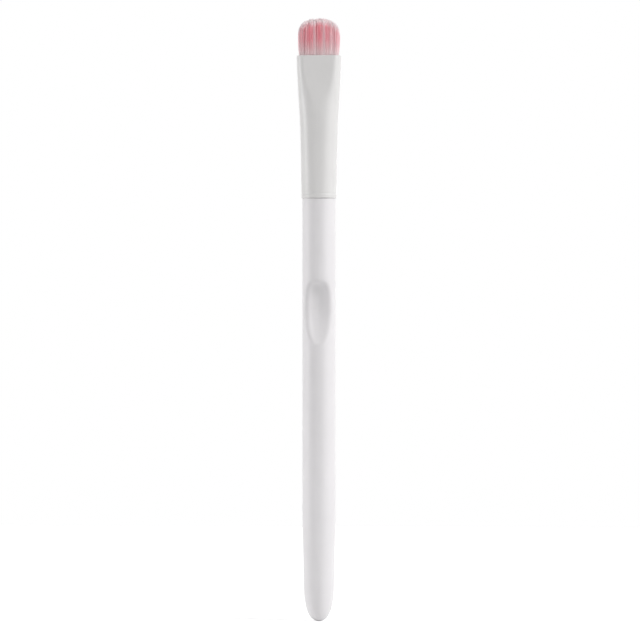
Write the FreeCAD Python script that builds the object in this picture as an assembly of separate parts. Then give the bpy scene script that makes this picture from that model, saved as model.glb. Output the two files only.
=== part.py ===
import FreeCAD, Part
import math
import os

# Eyeshadow brush, in millimetres. The axis is +Z, from the butt of the handle, at the origin, to the tips.
# The wide direction of the flattened mouth and tuft is X. The thumb dimple faces -Y.

# Handle: a round stick that slims a little towards a rounded butt
handle_diameter = 8.26
handle_length = 104.9
butt_diameter = 7.7
butt_length = 11.4
butt_nose_share = 0.75
butt_flank_share = 0.33
swell_length = 15.6
swell_tangent_share = 0.4
shoulder_round = 0.25
gate_mark_diameter = 1.5
gate_mark_depth = 0.12
gate_mark_place_share = 0.33

# Thumb dimple: a leaf-shaped scoop, pointed towards the butt
dimple_base_height = 68.6
dimple_length = 15.6
dimple_depth = 2.15
dimple_hollow_radius = 6.2
dimple_edge_round = 1.2
dimple_run_out_share = 0.6
# Places along the scoop's floor and depths there, as shares of its length and depth
dimple_lower_shares = ((0.0, 0.0), (0.17, 0.5), (0.36, 1.0), (0.56, 1.0))
dimple_upper_shares = ((0.56, 1.0), (0.77, 1.0), (0.98, 0.85), (1.0, 0.0))

# Tenon of the handle, inside the ferrule, with grooves that key the glue
tenon_length = 14.0
tenon_lead = 0.6
glue_groove_width = 0.8
glue_groove_depth = 0.25
glue_groove_count = 3
glue_gap = 0.2

# Ferrule: a thin tube, round at the handle and pressed flat at its mouth
ferrule_length = 35.4
ferrule_step = 0.2
ferrule_wall = 0.35
mouth_width = 11.16
mouth_thickness = 4.22
rim_round = 0.12
foot_round = 0.16
crimp_height = 1.1
crimp_width = 0.5
crimp_depth = 0.06
# Height, and how far width, flat and thickness have gone from the round base to the mouth
ferrule_section_shares = (
    (0.00, 0.00, 0.03, 0.00),
    (0.30, 0.13, 0.05, 0.08),
    (0.50, 0.26, 0.08, 0.16),
    (0.62, 0.43, 0.10, 0.26),
    (0.70, 0.59, 0.18, 0.42),
    (0.77, 0.71, 0.66, 0.60),
    (0.86, 0.84, 1.00, 0.80),
    (1.00, 1.00, 1.00, 1.00),
)

# Bristle bundle: the free tuft bends about a line just above the mouth
tuft_length = 9.7
tuft_clearance = 0.12
bend_height = 0.6
root_standoff = 3.9
root_gap = 0.1
bundle_fit = 0.03
knot_length = 4.5
# Rows of the round knot, as shares of its length
knot_row_shares = (0.0, 0.4, 0.7, 1.0)
# Height above the bend line, then width and thickness there, as shares of the tuft's sizes
tuft_section_shares = (
    (0.00, 1.00, 1.00),
    (0.30, 1.00, 1.17),
    (0.52, 1.00, 1.13),
    (0.70, 0.92, 0.95),
    (0.85, 0.74, 0.74),
    (0.95, 0.52, 0.48),
    (1.00, 0.29, 0.20),
)
# Rows of the ferrule's table that the roots follow above the knot
root_following_shares = ferrule_section_shares[5:]

# Binding thread, wound round the knot in one layer: a band with a rounded ridge for each turn
thread_diameter = 0.3
thread_turns = 7
thread_ridge_share = 0.4
thread_rise = 0.5
thread_clearance = 0.04

# Resin plug that holds the roots, how far it covers them, and the gap that it leaves above the tenon
resin_cover = 7.0
resin_gap = 0.3
resin_wall = 0.12

# Worked out from the sizes above
handle_radius = handle_diameter / 2
ferrule_base_radius = handle_radius + ferrule_step
tenon_top = handle_length + tenon_length
mouth_height = handle_length + ferrule_length
mouth_half_flat = (mouth_width - mouth_thickness) / 2
bend_line_height = mouth_height + bend_height
tuft_half_width = mouth_width / 2 - ferrule_wall - tuft_clearance
tuft_half_thickness = mouth_thickness / 2 - ferrule_wall - tuft_clearance
root_base_height = tenon_top + root_standoff
root_top_height = bend_line_height - tuft_half_thickness - root_gap
thread_height = thread_diameter * thread_turns
thread_base_height = root_base_height + thread_rise
thread_room = thread_diameter + 2 * thread_clearance
cut_overrun = mouth_width
quarter_weight = math.sqrt(0.5)
rise_degree = 3
edge_tolerance_share = 0.05
upward = FreeCAD.Vector(0, 0, 1)
sideways = FreeCAD.Vector(1, 0, 0)


def point(x, y, z):
    return FreeCAD.Vector(x, y, z)


def axis_point(z):
    return point(0, 0, z)


def line(start, end):
    return Part.LineSegment(start, end).toShape()


def bezier(poles):
    curve = Part.BezierCurve()
    curve.setPoles(poles)
    return curve


def slab(low, high):
    """A wide block between two heights, to trim a piece that follows the bore of the ferrule."""
    side = 2 * cut_overrun
    return Part.makeBox(side, side, high - low, point(-cut_overrun, -cut_overrun, low))


def flat_oval(z, half_width, half_thickness, half_flat):
    """A closed outline at height z: two flats, front and back, joined by half-ellipses at the sides.

    Each span is a list of poles: two for a flat, three for a quarter-ellipse, its corner in the middle.
    """
    front_left = point(-half_flat, -half_thickness, z)
    front_right = point(half_flat, -half_thickness, z)
    back_right = point(half_flat, half_thickness, z)
    back_left = point(-half_flat, half_thickness, z)
    right = point(half_width, 0, z)
    left = point(-half_width, 0, z)
    return [
        [front_left, front_right],
        [front_right, point(half_width, -half_thickness, z), right],
        [right, point(half_width, half_thickness, z), back_right],
        [back_right, back_left],
        [back_left, point(-half_width, half_thickness, z), left],
        [left, point(-half_width, -half_thickness, z), front_left],
    ]


def span_weights(span):
    return [1.0, quarter_weight, 1.0] if len(span) == 3 else [1.0, 1.0]


def span_edge(span):
    curve = bezier(span)
    for number, weight in enumerate(span_weights(span), 1):
        curve.setWeight(number, weight)
    return curve.toShape()


def span_face(spans):
    """One side face over a stack of matching spans, which are the rows of its control net."""
    rows = len(spans)
    across = len(spans[0]) - 1
    poles = [list(column) for column in zip(*spans)]
    weights = [[weight] * rows for weight in span_weights(spans[0])]
    end_count = rise_degree + 1
    inner_knots = rows - end_count
    surface = Part.BSplineSurface()
    surface.buildFromPolesMultsKnots(
        poles,
        [across + 1, across + 1],
        [end_count] + [1] * inner_knots + [end_count],
        [0, 1],
        list(range(inner_knots + 2)),
        False,
        False,
        across,
        rise_degree,
        weights,
    )
    return surface.toShape()


def skin(outlines):
    """A closed solid whose side is a smooth net over a stack of flat ovals, with flat ends."""
    sides = [span_face(spans) for spans in zip(*outlines)]
    ends = [Part.Face(Part.Wire([span_edge(span) for span in outlines[row]])) for row in (0, -1)]
    shell = Part.makeShell(sides + ends)
    shell.sewShape()
    solid = Part.makeSolid(shell)
    if solid.Volume < 0:
        solid.reverse()
    return solid


def between(start, end, share):
    return start + (end - start) * share


def ferrule_section(shares, inset):
    """The ferrule's outline at one height of its table, moved inwards by the inset."""
    height_share, width_share, flat_share, thickness_share = shares
    return flat_oval(
        handle_length + ferrule_length * height_share,
        between(ferrule_base_radius, mouth_width / 2, width_share) - inset,
        between(ferrule_base_radius, mouth_thickness / 2, thickness_share) - inset,
        mouth_half_flat * flat_share,
    )


def ferrule_core(inset):
    return skin([ferrule_section(shares, inset) for shares in ferrule_section_shares])


def bore_half_thickness(height):
    """Half of the bore's thickness at a height, on straight lines between the rows of the table."""
    place_share = (height - handle_length) / ferrule_length
    for low, high in zip(ferrule_section_shares, ferrule_section_shares[1:]):
        if place_share <= high[0]:
            thickness_share = between(low[3], high[3], (place_share - low[0]) / (high[0] - low[0]))
            return between(ferrule_base_radius, mouth_thickness / 2, thickness_share) - ferrule_wall


def edges_on(shape, belongs):
    return [edge for edge in shape.Edges if belongs(edge)]


def lies_at(edge, height):
    tolerance = rim_round * edge_tolerance_share
    return abs(edge.BoundBox.ZMin - height) < tolerance and abs(edge.BoundBox.ZMax - height) < tolerance


def butt_curve():
    radius = butt_diameter / 2
    return bezier([
        axis_point(0),
        point(radius * butt_nose_share, 0, 0),
        point(radius, 0, butt_length * butt_flank_share),
        point(radius, 0, butt_length),
    ])


def swell_curve():
    radius = butt_diameter / 2
    top = butt_length + swell_length
    tangent = swell_length * swell_tangent_share
    return bezier([
        point(radius, 0, butt_length),
        point(radius, 0, butt_length + tangent),
        point(handle_radius, 0, top - tangent),
        point(handle_radius, 0, top),
    ])


def shoulder_arc():
    inner = handle_radius - shoulder_round
    low = handle_length - shoulder_round
    diagonal = shoulder_round * quarter_weight
    return Part.Arc(
        point(handle_radius, 0, low),
        point(inner + diagonal, 0, low + diagonal),
        point(inner, 0, handle_length),
    )


def tenon_corners():
    """Corners of the tenon's side, from the shoulder up, with its evenly spaced glue grooves."""
    tenon_radius = bore_half_thickness(tenon_top) - glue_gap
    groove_radius = tenon_radius - glue_groove_depth
    spacing = (tenon_length - tenon_lead) / (glue_groove_count + 1)
    corners = [point(tenon_radius, 0, handle_length)]
    for number in range(glue_groove_count):
        low = handle_length + spacing * (number + 1) - glue_groove_width / 2
        high = low + glue_groove_width
        corners.append(point(tenon_radius, 0, low))
        corners.append(point(groove_radius, 0, low))
        corners.append(point(groove_radius, 0, high))
        corners.append(point(tenon_radius, 0, high))
    corners.append(point(tenon_radius, 0, tenon_top - tenon_lead))
    corners.append(point(tenon_radius - tenon_lead, 0, tenon_top))
    return corners


def turned_handle():
    shoulder = shoulder_arc()
    corners = [
        shoulder.EndPoint,
        *tenon_corners(),
        axis_point(tenon_top),
        axis_point(0),
    ]
    outline = [
        butt_curve().toShape(),
        swell_curve().toShape(),
        line(point(handle_radius, 0, butt_length + swell_length), shoulder.StartPoint),
        shoulder.toShape(),
    ]
    outline += [line(start, end) for start, end in zip(corners, corners[1:])]
    return Part.Face(Part.Wire(outline)).revolve(axis_point(0), upward, 360)


def dimple_tool():
    """The solid that scoops the dimple: turned about an upright axis in front of the handle."""
    axis_y = -(handle_radius - dimple_depth + dimple_hollow_radius)

    def floor_point(shares):
        along_share, depth_share = shares
        y = -handle_radius + dimple_depth * depth_share
        return point(0, y, dimple_base_height + dimple_length * along_share)

    def run_out(tip, neighbour):
        return tip + (tip - neighbour) * dimple_run_out_share

    lower = [floor_point(shares) for shares in dimple_lower_shares]
    upper = [floor_point(shares) for shares in dimple_upper_shares]
    low_end = run_out(lower[0], lower[1])
    high_end = run_out(upper[-1], upper[-2])
    low_axis = point(0, axis_y, low_end.z)
    high_axis = point(0, axis_y, high_end.z)
    outline = [
        line(low_axis, low_end),
        line(low_end, lower[0]),
        bezier(lower).toShape(),
        bezier(upper).toShape(),
        line(upper[-1], high_end),
        line(high_end, high_axis),
        line(high_axis, low_axis),
    ]
    return Part.Face(Part.Wire(outline)).revolve(low_axis, upward, 360)


def is_dimple_edge(edge):
    """True for the rim of the scoop, which lies on the handle's round surface."""
    box = edge.BoundBox
    middle = edge.valueAt((edge.FirstParameter + edge.LastParameter) / 2)
    tolerance = dimple_edge_round * edge_tolerance_share
    on_surface = abs(math.hypot(middle.x, middle.y) - handle_radius) < tolerance
    above_tip = box.ZMin > dimple_base_height - dimple_edge_round
    below_top = box.ZMax < dimple_base_height + dimple_length + dimple_edge_round
    return on_surface and above_tip and below_top


def gate_mark_tool():
    """A ball that leaves the shallow round mark low on the front of the butt."""
    half = gate_mark_diameter / 2
    radius = (half * half + gate_mark_depth * gate_mark_depth) / (2 * gate_mark_depth)
    curve = butt_curve()
    place = curve.value(gate_mark_place_share)
    along = curve.tangent(gate_mark_place_share)[0]
    outward = point(0, -along.z, -along.x)
    centre = point(0, -place.x, place.z) + outward * (radius - gate_mark_depth)
    return Part.makeSphere(radius, centre)


def make_handle():
    scooped = turned_handle().cut(dimple_tool())
    softened = scooped.makeFillet(dimple_edge_round, edges_on(scooped, is_dimple_edge))
    return softened.cut(gate_mark_tool())


def crimp_tool():
    """A ring that presses a faint groove round the ferrule, just above its foot."""
    half = crimp_width / 2
    radius = (half * half + crimp_depth * crimp_depth) / (2 * crimp_depth)
    centre_line = ferrule_base_radius - crimp_depth + radius
    return Part.makeTorus(centre_line, radius, axis_point(handle_length + crimp_height))


def make_ferrule():
    core = ferrule_core(0)
    rim = edges_on(core, lambda edge: lies_at(edge, mouth_height))
    foot = edges_on(core, lambda edge: lies_at(edge, handle_length))
    rounded = core.makeFillet(rim_round, rim).makeFillet(foot_round, foot)
    return rounded.cut(ferrule_core(ferrule_wall)).cut(crimp_tool())


def make_tenon_adhesive(handle):
    sleeve = ferrule_core(ferrule_wall).common(slab(handle_length, tenon_top - tenon_lead))
    return sleeve.cut(handle)


def knot_radius():
    """The knot leaves room in the bore for the thread round it and a thin wall of resin."""
    return bore_half_thickness(thread_base_height + thread_height) - thread_room - resin_wall


def make_tuft_roots():
    """Bristle roots: round where the thread ties them, then flattened to fill the mouth."""
    radius = knot_radius()
    knot_flat = mouth_half_flat * ferrule_section_shares[0][2]
    sections = [
        flat_oval(root_base_height + knot_length * share, radius, radius, knot_flat)
        for share in knot_row_shares
    ]
    sections += [ferrule_section(shares, ferrule_wall + bundle_fit) for shares in root_following_shares]
    return skin(sections).common(slab(root_base_height, root_top_height))


def make_binding_thread():
    inner = knot_radius() + thread_clearance
    outer = inner + thread_diameter
    valley = outer - thread_diameter * thread_ridge_share
    heights = [thread_base_height + thread_diameter * turn for turn in range(thread_turns + 1)]
    ridges = [
        Part.Arc(point(valley, 0, low), point(outer, 0, (low + high) / 2), point(valley, 0, high)).toShape()
        for low, high in zip(heights, heights[1:])
    ]
    low_inner = point(inner, 0, heights[0])
    high_inner = point(inner, 0, heights[-1])
    outline = [
        line(low_inner, point(valley, 0, heights[0])),
        *ridges,
        line(point(valley, 0, heights[-1]), high_inner),
        line(high_inner, low_inner),
    ]
    return Part.Face(Part.Wire(outline)).revolve(axis_point(0), upward, 360)


def make_root_resin(roots):
    """Resin from just above the tenon to part-way up the roots, with room for the thread."""
    reach = slab(tenon_top + resin_gap, root_base_height + resin_cover)
    plug = ferrule_core(ferrule_wall).common(reach).cut(roots)
    groove_height = thread_height + 2 * thread_clearance
    groove_base = axis_point(thread_base_height - thread_clearance)
    groove = Part.makeCylinder(knot_radius() + thread_room, groove_height, groove_base)
    return plug.cut(groove)


def tuft_section(shares):
    height_share, width_share, thickness_share = shares
    half_width = tuft_half_width * width_share
    half_thickness = tuft_half_thickness * thickness_share
    height = bend_line_height + (tuft_length - bend_height) * height_share
    return flat_oval(height, half_width, half_thickness, half_width - half_thickness)


def make_tuft():
    """Free bristles: a domed flat brush on a half-round root that turns inside the mouth."""
    brush = skin([tuft_section(shares) for shares in tuft_section_shares])
    half_flat = tuft_half_width - tuft_half_thickness
    left_end = point(-half_flat, 0, bend_line_height)
    cylinder = Part.makeCylinder(tuft_half_thickness, 2 * half_flat, left_end, sideways)
    ends = [
        Part.makeSphere(tuft_half_thickness, point(side * half_flat, 0, bend_line_height))
        for side in (-1, 1)
    ]
    root = cylinder.multiFuse(ends).common(slab(root_base_height, bend_line_height))
    return brush.fuse(root).removeSplitter()


def main():
    handle = make_handle()
    roots = make_tuft_roots()
    pieces = {
        "handle": handle,
        "ferrule": make_ferrule(),
        "tenon_adhesive": make_tenon_adhesive(handle),
        "root_resin": make_root_resin(roots),
        "binding_thread": make_binding_thread(),
        "tuft_roots": roots,
        "tuft": make_tuft(),
    }
    os.makedirs("parts", exist_ok=True)
    for name, shape in pieces.items():
        shape.exportStep(f"parts/{name}.step")
        state = "valid" if shape.isValid() else "faulty"
        print(name, state, "solids:", len(shape.Solids), "mm3:", round(shape.Volume, 2))


main()
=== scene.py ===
import bpy
import math
import random
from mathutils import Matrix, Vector
from mathutils.noise import noise as smooth_noise


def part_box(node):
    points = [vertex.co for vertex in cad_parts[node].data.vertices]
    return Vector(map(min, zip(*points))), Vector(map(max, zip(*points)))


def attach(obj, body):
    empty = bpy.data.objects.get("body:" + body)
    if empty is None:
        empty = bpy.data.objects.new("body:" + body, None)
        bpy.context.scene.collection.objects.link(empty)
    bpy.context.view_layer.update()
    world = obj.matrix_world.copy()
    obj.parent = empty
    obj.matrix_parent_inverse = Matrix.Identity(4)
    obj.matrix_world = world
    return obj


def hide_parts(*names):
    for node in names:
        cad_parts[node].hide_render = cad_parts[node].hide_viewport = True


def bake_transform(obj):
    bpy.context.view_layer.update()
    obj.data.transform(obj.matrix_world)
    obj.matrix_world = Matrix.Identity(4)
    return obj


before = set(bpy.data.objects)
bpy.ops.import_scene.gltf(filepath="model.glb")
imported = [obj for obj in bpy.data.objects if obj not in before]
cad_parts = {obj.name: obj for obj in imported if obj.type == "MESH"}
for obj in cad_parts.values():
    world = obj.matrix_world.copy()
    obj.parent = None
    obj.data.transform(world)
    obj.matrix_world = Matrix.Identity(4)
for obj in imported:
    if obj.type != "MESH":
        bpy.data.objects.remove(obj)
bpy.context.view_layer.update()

MM = 0.001


# Material helpers

def new_material(name):
    material = bpy.data.materials.new(name)
    material.use_nodes = True
    tree = material.node_tree
    return material, tree, tree.nodes["Principled BSDF"]


def set_sockets(shader, **values):
    for name, value in values.items():
        shader.inputs[name.replace("_", " ")].default_value = value


def add(tree, kind, **values):
    node = tree.nodes.new(kind)
    for name, value in values.items():
        setattr(node, name, value)
    return node


def noise(tree, vector, scale, detail, stretch=(1.0, 1.0, 1.0)):
    mapping = add(tree, "ShaderNodeMapping")
    mapping.inputs["Scale"].default_value = stretch
    texture = add(tree, "ShaderNodeTexNoise")
    set_sockets(texture, Scale=scale, Detail=detail)
    tree.links.new(vector, mapping.inputs["Vector"])
    tree.links.new(mapping.outputs["Vector"], texture.inputs["Vector"])
    return texture.outputs["Fac"]


def ramp(tree, factor, stops):
    node = add(tree, "ShaderNodeValToRGB")
    elements = node.color_ramp.elements
    while len(elements) < len(stops):
        elements.new(0.5)
    for element, (place, colour) in zip(elements, stops):
        element.position = place
        element.color = (*colour, 1.0)
    tree.links.new(factor, node.inputs["Fac"])
    return node.outputs["Color"]


def spread(tree, factor, low, high, from_low=0.25, from_high=0.75):
    """Maps a factor, by default the usual range of a noise, to low ... high."""
    node = add(tree, "ShaderNodeMapRange")
    set_sockets(node, From_Min=from_low, From_Max=from_high, To_Min=low, To_Max=high)
    tree.links.new(factor, node.inputs["Value"])
    return node.outputs["Result"]


def bump(tree, height, strength, distance):
    node = add(tree, "ShaderNodeBump")
    set_sockets(node, Strength=strength, Distance=distance)
    tree.links.new(height, node.inputs["Height"])
    return node.outputs["Normal"]


def object_coordinates(tree):
    return add(tree, "ShaderNodeTexCoord").outputs["Object"]


def dress(node, material):
    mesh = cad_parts[node].data
    mesh.materials.clear()
    mesh.materials.append(material)


# Moulded, painted and cast surfaces

CLOUD_SCALE, CLOUD_DETAIL = 160.0, 3.0
CLOUD_DARK, CLOUD_LIGHT = 0.3, 0.7
RUB_SCALE, RUB_DETAIL = 900.0, 4.0
GRAIN_DETAIL, GRAIN_STRENGTH = 2.0, 0.35


def moulded(name, dark, light, roughness, grain_scale, grain_depth, **sockets):
    """A satin surface: cloudy colour, uneven gloss and a fine grain."""
    material, tree, shader = new_material(name)
    place = object_coordinates(tree)
    cloud = noise(tree, place, CLOUD_SCALE, CLOUD_DETAIL)
    colour = ramp(tree, cloud, [(CLOUD_DARK, dark), (CLOUD_LIGHT, light)])
    tree.links.new(colour, shader.inputs["Base Color"])
    rub = noise(tree, place, RUB_SCALE, RUB_DETAIL)
    tree.links.new(spread(tree, rub, *roughness), shader.inputs["Roughness"])
    grain = noise(tree, place, grain_scale, GRAIN_DETAIL)
    tree.links.new(bump(tree, grain, GRAIN_STRENGTH, grain_depth), shader.inputs["Normal"])
    set_sockets(shader, **sockets)
    return material


dress("handle", moulded(
    "satin_white_plastic",
    dark=(0.800, 0.782, 0.795),
    light=(0.822, 0.805, 0.818),
    roughness=(0.40, 0.52),
    grain_scale=7000.0,
    grain_depth=0.006 * MM,
    Specular_IOR_Level=0.45,
))
dress("ferrule", moulded(
    "satin_white_paint",
    dark=(0.732, 0.722, 0.716),
    light=(0.754, 0.744, 0.738),
    roughness=(0.36, 0.46),
    grain_scale=5200.0,
    grain_depth=0.008 * MM,
    Specular_IOR_Level=0.5,
    Coat_Weight=0.08,
    Coat_Roughness=0.3,
))
dress("tenon_adhesive", moulded(
    "cured_glue",
    dark=(0.70, 0.62, 0.45),
    light=(0.80, 0.74, 0.58),
    roughness=(0.18, 0.32),
    grain_scale=2500.0,
    grain_depth=0.02 * MM,
    Specular_IOR_Level=0.5,
    Subsurface_Weight=0.1,
    Subsurface_Scale=1.0 * MM,
))
dress("root_resin", moulded(
    "cast_resin",
    dark=(0.60, 0.48, 0.30),
    light=(0.72, 0.62, 0.44),
    roughness=(0.12, 0.25),
    grain_scale=1800.0,
    grain_depth=0.02 * MM,
    Specular_IOR_Level=0.5,
    Subsurface_Weight=0.1,
    Subsurface_Scale=1.0 * MM,
))


# Bristle material

# Colours along a filament, from the mouth to its tip, of the deepest and of the palest strands. The
# pale root is the filament's own tone; the paler last stops at the tip are partly painted light,
# standing in for light through the fine tips.
DEEP_STRAND = [
    (0.00, (0.79, 0.59, 0.61)),
    (0.12, (0.81, 0.55, 0.57)),
    (0.48, (0.82, 0.25, 0.30)),
    (0.85, (0.82, 0.22, 0.27)),
    # Painted light: these last stops make the tips paler, as if light shone through them
    (0.95, (0.93, 0.55, 0.59)),
    (1.00, (0.97, 0.90, 0.91)),
]
PALE_STRAND = [
    (0.00, (0.98, 0.83, 0.85)),
    (0.12, (0.98, 0.79, 0.81)),
    (0.48, (0.98, 0.70, 0.74)),
    (0.85, (0.98, 0.67, 0.71)),
    # Painted light: these last stops make the tips paler, as if light shone through them
    (0.95, (0.98, 0.84, 0.86)),
    (1.00, (0.98, 0.95, 0.95)),
]
STRAND_ROUGHNESS = (0.38, 0.55)
# Sockets of a Mix node that mixes colours
MIX_A, MIX_B, MIX_RESULT = 6, 7, 2


def bristle_material():
    """Filament: pale at the root, pink along its length and pale again at its fine tip, where the
    paleness is partly painted light through the fine tips.
    """
    material, tree, shader = new_material("bristle_filament")
    along = add(tree, "ShaderNodeAttribute", attribute_name="along").outputs["Fac"]
    strand = add(tree, "ShaderNodeAttribute", attribute_name="strand").outputs["Fac"]
    mix = add(tree, "ShaderNodeMix", data_type="RGBA")
    tree.links.new(strand, mix.inputs["Factor"])
    tree.links.new(ramp(tree, along, DEEP_STRAND), mix.inputs[MIX_A])
    tree.links.new(ramp(tree, along, PALE_STRAND), mix.inputs[MIX_B])
    tree.links.new(mix.outputs[MIX_RESULT], shader.inputs["Base Color"])
    roughness = spread(tree, strand, *STRAND_ROUGHNESS, from_low=0.0, from_high=1.0)
    tree.links.new(roughness, shader.inputs["Roughness"])
    set_sockets(shader, Specular_IOR_Level=0.5, Sheen_Weight=0.3, Sheen_Roughness=0.4)
    return material


# Shape of the bristle bundle, from the frame

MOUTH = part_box("ferrule")[1][2]
KNOT_CLEARANCE = 0.05 * MM
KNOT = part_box("tuft_roots")[0][2] + KNOT_CLEARANCE
HALF_WIDTH, HALF_THICKNESS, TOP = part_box("tuft")[1]

# The bundle is drawn round a tuft of these sizes, in mm, and brought to the size of the frame's
DRAWN_ROOT = 17.45
DRAWN_FREE = 9.7
DRAWN_HALF_WIDTH = 5.11
DRAWN_HALF_THICKNESS = 1.8657


def level(drawn):
    """The place on the brush axis of a height that is drawn in mm from the mouth."""
    if drawn < 0:
        return MOUTH + (MOUTH - KNOT) * drawn / DRAWN_ROOT
    return MOUTH + (TOP - MOUTH) * drawn / DRAWN_FREE


BELLY = level(3.2)
DOME_BASE = level(4.9)
TIP = level(9.4)
# Height from the mouth, half-width and half-thickness, from the tied knot to the tips
BUNDLE = [
    (
        level(drawn),
        width / DRAWN_HALF_WIDTH * HALF_WIDTH,
        thickness / DRAWN_HALF_THICKNESS * HALF_THICKNESS,
    )
    for drawn, width, thickness in (
        (-DRAWN_ROOT, 2.70, 2.70),
        (-13.7, 2.75, 2.70),
        (-9.3, 4.30, 2.20),
        (-4.3, 4.85, 1.88),
        (-0.9, 4.94, 1.62),
        (0.3, 5.02, 1.60),
        (1.5, 5.20, 1.62),
        (3.2, 5.28, 1.68),
        (5.7, 5.28, 1.70),
        (6.7, 5.22, 1.54),
        (7.7, 5.14, 1.30),
        (8.7, 5.06, 0.98),
        (DRAWN_FREE, 4.98, 0.55),
    )
]
# Heights of a filament's rings below its taper
RINGS = [
    level(drawn)
    for drawn in (-DRAWN_ROOT, -13.7, -9.3, -4.3, -1.1, 0.1, 1.2, 2.4, 3.7, 5.3, 6.7, 7.7)
]
# The domed cut: powers of its curve across the width, and how far its front and back lie lower
DOME_POWERS = (2.5, 1 / 2.6)
FACE_DROP, FACE_POWER = 0.55 * MM, 3


def clamp(value):
    return min(max(value, 0.0), 1.0)


def bundle_size(z):
    for (z0, w0, t0), (z1, w1, t1) in zip(BUNDLE, BUNDLE[1:]):
        if z <= z1:
            share = (z - z0) / (z1 - z0)
            return w0 + (w1 - w0) * share, t0 + (t1 - t0) * share
    return BUNDLE[-1][1:]


BELLY_SIZE = bundle_size(BELLY)


def tip_height(spot):
    """The domed cut: lower towards the two sides, and a little lower on the front and back."""
    half_width, half_thickness = BELLY_SIZE
    across = min(abs(spot.x) / half_width, 1.0)
    through = min(abs(spot.y) / half_thickness, 1.0)
    dome = (1 - across ** DOME_POWERS[0]) ** DOME_POWERS[1]
    return DOME_BASE + (TIP - DOME_BASE) * dome - FACE_DROP * through ** FACE_POWER


def oval_point(radius, angle, half_width, half_thickness):
    """The point at a share of the way from the centre to the edge of a flat oval."""
    direction = Vector((half_width * math.cos(angle), half_thickness * math.sin(angle)))
    direction.normalize()
    half_flat = half_width - half_thickness
    if half_flat > 0 and abs(direction.x) * half_thickness <= half_flat * abs(direction.y):
        reach = half_thickness / abs(direction.y)
    else:
        centre = Vector((math.copysign(half_flat, direction.x), 0))
        ahead = direction.dot(centre)
        inside = ahead * ahead - half_flat * half_flat + half_thickness * half_thickness
        reach = ahead + math.sqrt(max(inside, 0))
    return direction * (reach * radius)


def oval_share(spot, half_width, half_thickness):
    """The share and angle that oval_point turns into this spot."""
    angle = math.atan2(spot.y / half_thickness, spot.x / half_width)
    return spot.length / oval_point(1.0, angle, half_width, half_thickness).length, angle


# Places of the filaments

SEED = 20
CLUMP_PITCH = 0.38 * MM
CLUMP_STRAY = 0.15 * CLUMP_PITCH
CLUMP_EDGE = 0.98
CLUMP_SCATTER = 0.55 * CLUMP_PITCH
FILAMENTS_PER_CLUMP = 10
SKIN_PITCH = 0.13 * MM
SKIN_SHARE = 0.955
SKIN_SCATTER = 0.35 * SKIN_PITCH
# Small angle, in radians, over which distance along the oval is measured
SKIN_STEP = 0.001


def random_offset(chance, across, through):
    return Vector((chance.gauss(0, across), chance.gauss(0, through)))


def clump_places(chance):
    """Staggered places across the belly of the bundle, a little out of line."""
    half_width, half_thickness = BELLY_SIZE
    row_pitch = CLUMP_PITCH * math.sqrt(0.75)
    rows = math.ceil(half_thickness / row_pitch)
    columns = math.ceil(half_width / CLUMP_PITCH)
    for row in range(-rows, rows + 1):
        for column in range(-columns, columns + 1):
            stagger = CLUMP_PITCH / 2 if row % 2 else 0
            spot = Vector((column * CLUMP_PITCH + stagger, row * row_pitch))
            spot += random_offset(chance, CLUMP_STRAY, CLUMP_STRAY)
            if oval_share(spot, half_width, half_thickness)[0] < CLUMP_EDGE:
                yield spot


def skin_places():
    """Even places round the outside of the belly, which close the gaps between the clumps."""
    angle = 0.0
    while angle < 2 * math.pi:
        spot = oval_point(SKIN_SHARE, angle, *BELLY_SIZE)
        yield spot
        ahead = oval_point(SKIN_SHARE, angle + SKIN_STEP, *BELLY_SIZE)
        angle += SKIN_STEP * SKIN_PITCH / (ahead - spot).length


# Shades of the strands: 0 is the deepest and 1 the palest; the paler strands towards the two thin
# sides are painted light

PATCH = 1.15 * MM
PATCH_LAYER = 0.5
SHADE_BASE, SHADE_PATCH = 0.18, 0.55
# Painted light: strands towards the two thin sides are made paler, as if lit through the thin edges
# of the tuft
SIDE_PAINTED_LIGHT, SIDE_PAINTED_LIGHT_POWER = 0.95, 2.5
SHADE_SPREAD = 0.2


def strand_tone_and_painted_side_light(spot):
    """Soft patches of deeper and paler strands, and painted light at the two thin sides: strands
    made paler there to stand in for light shining through the thin edges of the tuft.
    """
    patch = smooth_noise(Vector((spot.x / PATCH, spot.y / PATCH, PATCH_LAYER)))
    side = abs(spot.x) / BELLY_SIZE[0]
    return SHADE_BASE + SHADE_PATCH * patch + SIDE_PAINTED_LIGHT * side ** SIDE_PAINTED_LIGHT_POWER


# Filaments

FILAMENT_SIDES = 5
FILAMENT_RADIUS = 0.062 * MM
RADIUS_SPREAD = (0.85, 1.15)
# Drop of the last rings below the tip, and their shares of the filament's radius
TAPER = ((0.9 * MM, 1.0), (0.35 * MM, 0.9), (0.0, 0.6))
TAPER_ROOM = 1.15 * MM
# Filaments past this share of the oval go back inside, by up to the second share
EDGE, EDGE_DEPTH = 0.985, 0.06
# How far tips lie below the domed cut, by clump and by filament
CLUMP_DROP, TIP_DROP = 0.5 * MM, 0.55 * MM
# How far tips stray across and through the tuft, by clump and by filament
LEAN = (0.1 * MM, 0.04 * MM)
WANDER = (0.05 * MM, 0.03 * MM)
# Largest share of the way that a tip is drawn towards the middle of its clump
GATHER = 0.25
# Filaments whose tips lie further than this from the middle are in the front or back piece
LAYER_DEPTH = 0.3 * MM
FRONT, CORE, BACK = "tuft_front", "tuft_core", "tuft_back"


def layer_of(depth):
    if depth < -LAYER_DEPTH:
        return FRONT
    return BACK if depth > LAYER_DEPTH else CORE


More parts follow.
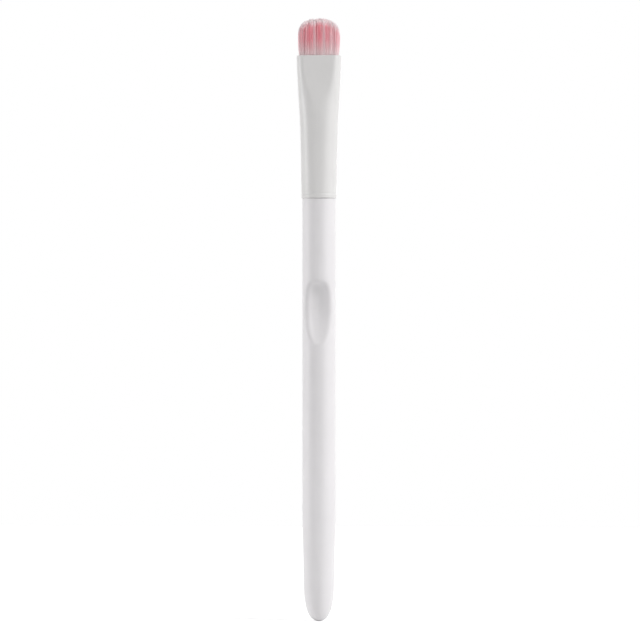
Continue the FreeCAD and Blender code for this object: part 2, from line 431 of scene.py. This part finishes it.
def tube(mesh_data, path, radii, along, strand):
    """Adds one closed filament along a path that rises nearly straight."""
    points, faces, lengths, strands = mesh_data
    base = len(points)
    for centre, radius, share in zip(path, radii, along):
        for side in range(FILAMENT_SIDES):
            angle = 2 * math.pi * side / FILAMENT_SIDES
            points.append((
                centre.x + radius * math.cos(angle),
                centre.y + radius * math.sin(angle),
                centre.z,
            ))
            lengths.append(share)
            strands.append(strand)
    add_walls(faces, base, len(path), FILAMENT_SIDES)


def add_walls(faces, base, rings, sides):
    """Joins rings of points into a closed tube."""
    for ring in range(rings - 1):
        low = base + ring * sides
        for side in range(sides):
            after = (side + 1) % sides
            faces.append((low + side, low + after, low + sides + after, low + sides + side))
    last = base + (rings - 1) * sides
    faces.append(tuple(base + side for side in reversed(range(sides))))
    faces.append(tuple(last + side for side in range(sides)))


def mesh_object(name, points, faces, material, **attributes):
    mesh = bpy.data.meshes.new(name)
    mesh.from_pydata(points, [], faces)
    for attribute, values in attributes.items():
        mesh.attributes.new(attribute, "FLOAT", "POINT").data.foreach_set("value", values)
    mesh.polygons.foreach_set("use_smooth", [True] * len(mesh.polygons))
    mesh.materials.append(material)
    mesh.update()
    piece = bpy.data.objects.new(name, mesh)
    bpy.context.scene.collection.objects.link(piece)
    return piece


def filament_path(own_share, clump_share, gather, sway, heights):
    """Follows the bundle, and above the mouth leans more and more towards its clump."""
    path = []
    for z in heights:
        size = bundle_size(z)
        free = clamp((z - MOUTH) / (TIP - MOUTH)) ** 2
        spot = oval_point(*own_share, *size).lerp(oval_point(*clump_share, *size), gather * free)
        spot += sway * free
        path.append(Vector((spot.x, spot.y, z)))
    return path


def make_tuft():
    """Clumps of filaments that share a shade, a lean and a length, inside an even skin."""
    chance = random.Random(SEED)
    layers = {name: ([], [], [], []) for name in (FRONT, CORE, BACK)}
    groups = [(spot, FILAMENTS_PER_CLUMP, CLUMP_SCATTER) for spot in clump_places(chance)]
    groups += [(spot, 1, SKIN_SCATTER) for spot in skin_places()]
    for clump, count, scatter in groups:
        clump_share = oval_share(clump, *BELLY_SIZE)
        # The clump's shade includes painted light: paler towards the two thin sides of the tuft
        clump_shade = strand_tone_and_painted_side_light(clump) + chance.gauss(0, SHADE_SPREAD)
        clump_drop = chance.uniform(0.0, CLUMP_DROP)
        lean = random_offset(chance, *LEAN)
        gather = chance.uniform(0.0, GATHER)
        for _ in range(count):
            offset = random_offset(chance, scatter, scatter)
            radius, angle = oval_share(clump + offset, *BELLY_SIZE)
            if radius > EDGE:
                radius = EDGE - chance.uniform(0.0, EDGE_DEPTH)
            tip = tip_height(oval_point(radius, angle, *BELLY_SIZE))
            tip -= clump_drop * chance.random() + abs(chance.gauss(0, TIP_DROP))
            shade = clamp(clump_shade + chance.gauss(0, SHADE_SPREAD))
            sway = lean + random_offset(chance, *WANDER)
            full = FILAMENT_RADIUS * chance.uniform(*RADIUS_SPREAD)
            heights = [z for z in RINGS if z < tip - TAPER_ROOM]
            radii = [full] * len(heights) + [full * share for _, share in TAPER]
            heights += [tip - drop for drop, _ in TAPER]
            path = filament_path((radius, angle), clump_share, gather, sway, heights)
            along = [clamp((z - MOUTH) / (tip - MOUTH)) for z in heights]
            tube(layers[layer_of(path[-1].y)], path, radii, along, shade)
    material = bristle_material()
    return [
        mesh_object(name, points, faces, material, along=lengths, strand=strands)
        for name, (points, faces, lengths, strands) in layers.items()
    ]


tuft = make_tuft()
for piece in tuft:
    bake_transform(piece)
    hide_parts("tuft", "tuft_roots")


# Binding thread

FIBRE_SCALE, FIBRE_DETAIL, FIBRE_STRETCH = 9000.0, 3.0, (1.0, 1.0, 3.0)
FIBRE_STRENGTH, FIBRE_DEPTH = 0.6, 0.03 * MM
COTTON = [(0.3, (0.62, 0.58, 0.50)), (0.7, (0.80, 0.77, 0.70))]
THREAD_RADIUS = 0.15 * MM
TURNS = 7
STEPS = 48 * TURNS
PLIES = 2
TWISTS_PER_TURN = 9
PLY_OFFSET = 0.45 * THREAD_RADIUS
PLY_RADIUS = 0.52 * THREAD_RADIUS
PLY_SIDES = 6


def thread_material():
    material, tree, shader = new_material("binding_cotton")
    fibre = noise(tree, object_coordinates(tree), FIBRE_SCALE, FIBRE_DETAIL, FIBRE_STRETCH)
    tree.links.new(ramp(tree, fibre, COTTON), shader.inputs["Base Color"])
    tree.links.new(bump(tree, fibre, FIBRE_STRENGTH, FIBRE_DEPTH), shader.inputs["Normal"])
    set_sockets(shader, Roughness=0.8, Sheen_Weight=0.3)
    return material


def make_thread():
    """Turns of two-ply thread round the knot, on a rising path."""
    low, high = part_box("binding_thread")
    reach = high[0] - THREAD_RADIUS
    bottom = low[2] + THREAD_RADIUS
    rise = high[2] - low[2] - 2 * THREAD_RADIUS
    points, faces = [], []
    for ply in range(PLIES):
        base = len(points)
        for step in range(STEPS + 1):
            share = step / STEPS
            turn = 2 * math.pi * TURNS * share
            twist = turn * TWISTS_PER_TURN + 2 * math.pi * ply / PLIES
            outward = Vector((math.cos(turn), math.sin(turn), 0))
            centre = outward * (reach + PLY_OFFSET * math.cos(twist))
            centre.z = bottom + rise * share + PLY_OFFSET * math.sin(twist)
            for side in range(PLY_SIDES):
                angle = 2 * math.pi * side / PLY_SIDES
                spot = centre + outward * (PLY_RADIUS * math.cos(angle))
                spot.z += PLY_RADIUS * math.sin(angle)
                points.append(tuple(spot))
        add_walls(faces, base, STEPS + 1, PLY_SIDES)
    return mesh_object("binding_winding", points, faces, thread_material())


winding = make_thread()
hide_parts("binding_thread")
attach(winding, "brush_body")


# Floor and background

WHITE = (1.0, 1.0, 1.0, 1.0)
FLOOR_HALF = 0.45
FLOOR_COLOUR = (0.9, 0.9, 0.9, 1.0)
FLOOR_GLOW = 0.38
AMBIENT = 0.22
BACKGROUND = 1.0


def seen_directly(tree, strength):
    """The strength for camera, glossy and transmission rays, and 0 for the rest."""
    path = add(tree, "ShaderNodeLightPath")
    first = add(tree, "ShaderNodeMath", operation="MAXIMUM")
    tree.links.new(path.outputs["Is Camera Ray"], first.inputs[0])
    tree.links.new(path.outputs["Is Glossy Ray"], first.inputs[1])
    second = add(tree, "ShaderNodeMath", operation="MAXIMUM")
    tree.links.new(first.outputs[0], second.inputs[0])
    tree.links.new(path.outputs["Is Transmission Ray"], second.inputs[1])
    scaled = add(tree, "ShaderNodeMath", operation="MULTIPLY")
    tree.links.new(second.outputs[0], scaled.inputs[0])
    scaled.inputs[1].default_value = strength
    return scaled.outputs[0]


def floor_material():
    """Pale floor that takes light and shadow, and glows towards the camera only."""
    material = bpy.data.materials.new("pale_floor")
    material.use_nodes = True
    tree = material.node_tree
    tree.nodes.clear()
    surface = add(tree, "ShaderNodeBsdfDiffuse")
    set_sockets(surface, Color=FLOOR_COLOUR)
    glow = add(tree, "ShaderNodeEmission")
    tree.links.new(seen_directly(tree, FLOOR_GLOW), glow.inputs["Strength"])
    both = add(tree, "ShaderNodeAddShader")
    tree.links.new(surface.outputs[0], both.inputs[0])
    tree.links.new(glow.outputs[0], both.inputs[1])
    output = add(tree, "ShaderNodeOutputMaterial")
    tree.links.new(both.outputs[0], output.inputs["Surface"])
    return material


def make_floor():
    corners = [(x * FLOOR_HALF, y * FLOOR_HALF, 0) for x, y in ((-1, -1), (1, -1), (1, 1), (-1, 1))]
    mesh = bpy.data.meshes.new("floor")
    mesh.from_pydata(corners, [], [(0, 1, 2, 3)])
    mesh.materials.append(floor_material())
    floor = bpy.data.objects.new("floor", mesh)
    bpy.context.scene.collection.objects.link(floor)


def make_world():
    """Dim even light, behind which camera and reflections see plain white."""
    world = bpy.data.worlds.new("studio")
    world.use_nodes = True
    tree = world.node_tree
    tree.nodes.clear()
    ambient = add(tree, "ShaderNodeBackground")
    set_sockets(ambient, Color=WHITE, Strength=AMBIENT)
    white = add(tree, "ShaderNodeBackground")
    set_sockets(white, Color=WHITE, Strength=BACKGROUND)
    mix = add(tree, "ShaderNodeMixShader")
    tree.links.new(seen_directly(tree, 1.0), mix.inputs["Fac"])
    tree.links.new(ambient.outputs[0], mix.inputs[1])
    tree.links.new(white.outputs[0], mix.inputs[2])
    output = add(tree, "ShaderNodeOutputWorld")
    tree.links.new(mix.outputs[0], output.inputs["Surface"])
    bpy.context.scene.world = world


# Camera and lamps

# Width of the photo, and length of the brush in it
PHOTO_PIXELS = 640
BRUSH_PIXELS = 604.4
BRUSH_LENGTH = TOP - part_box("handle")[0][2]
VIEW_AZIMUTH = math.radians(4.0)
VIEW_DISTANCE = 1.0
VIEW_SIDEWAYS = 0.27 * MM
AIM_DROP = 0.3 * MM
AIM = Vector((0, 0, BRUSH_LENGTH / 2 - AIM_DROP))
SENSOR = 36.0
CLIP_START = 0.01
# Name, azimuth in degrees, distance, height, width and height of the lamp in metres, and watts
LAMPS = (
    ("key", 65, 0.85, 0.65, 0.3, 0.6, 7.5),
    ("fill", -85, 0.9, 0.3, 0.3, 0.7, 4.0),
    ("top", 0, 0.05, 1.1, 0.8, 0.8, 1.7),
    ("back", 178, 0.9, 0.4, 0.4, 0.7, 4.0),
)


def around(azimuth, distance, height):
    """A place at an azimuth from the camera's side, positive to the camera's right."""
    turn = VIEW_AZIMUTH + azimuth
    return Vector((math.sin(turn) * distance, -math.cos(turn) * distance, height))


def make_lamp(name, azimuth, distance, height, width, tall, power):
    data = bpy.data.lights.new(name, "AREA")
    data.shape = "RECTANGLE"
    data.size = width
    data.size_y = tall
    data.energy = power
    lamp = bpy.data.objects.new(name, data)
    lamp.location = around(math.radians(azimuth), distance, height)
    lamp.rotation_euler = (AIM - lamp.location).to_track_quat("-Z", "Y").to_euler()
    bpy.context.scene.collection.objects.link(lamp)


def make_camera():
    data = bpy.data.cameras.new("camera")
    camera = bpy.data.objects.new("camera", data)
    bpy.context.scene.collection.objects.link(camera)
    right = Vector((math.cos(VIEW_AZIMUTH), math.sin(VIEW_AZIMUTH), 0))
    camera.location = around(0, VIEW_DISTANCE, AIM.z) + right * VIEW_SIDEWAYS
    camera.rotation_euler = (math.radians(90), 0, VIEW_AZIMUTH)
    photo_width = BRUSH_LENGTH * PHOTO_PIXELS / BRUSH_PIXELS
    data.sensor_width = SENSOR
    data.lens = SENSOR * VIEW_DISTANCE / photo_width
    data.clip_start = CLIP_START
    bpy.context.scene.camera = camera


make_floor()
make_world()
for lamp in LAMPS:
    make_lamp(*lamp)
make_camera()
bpy.context.scene.view_settings.view_transform = "Standard"
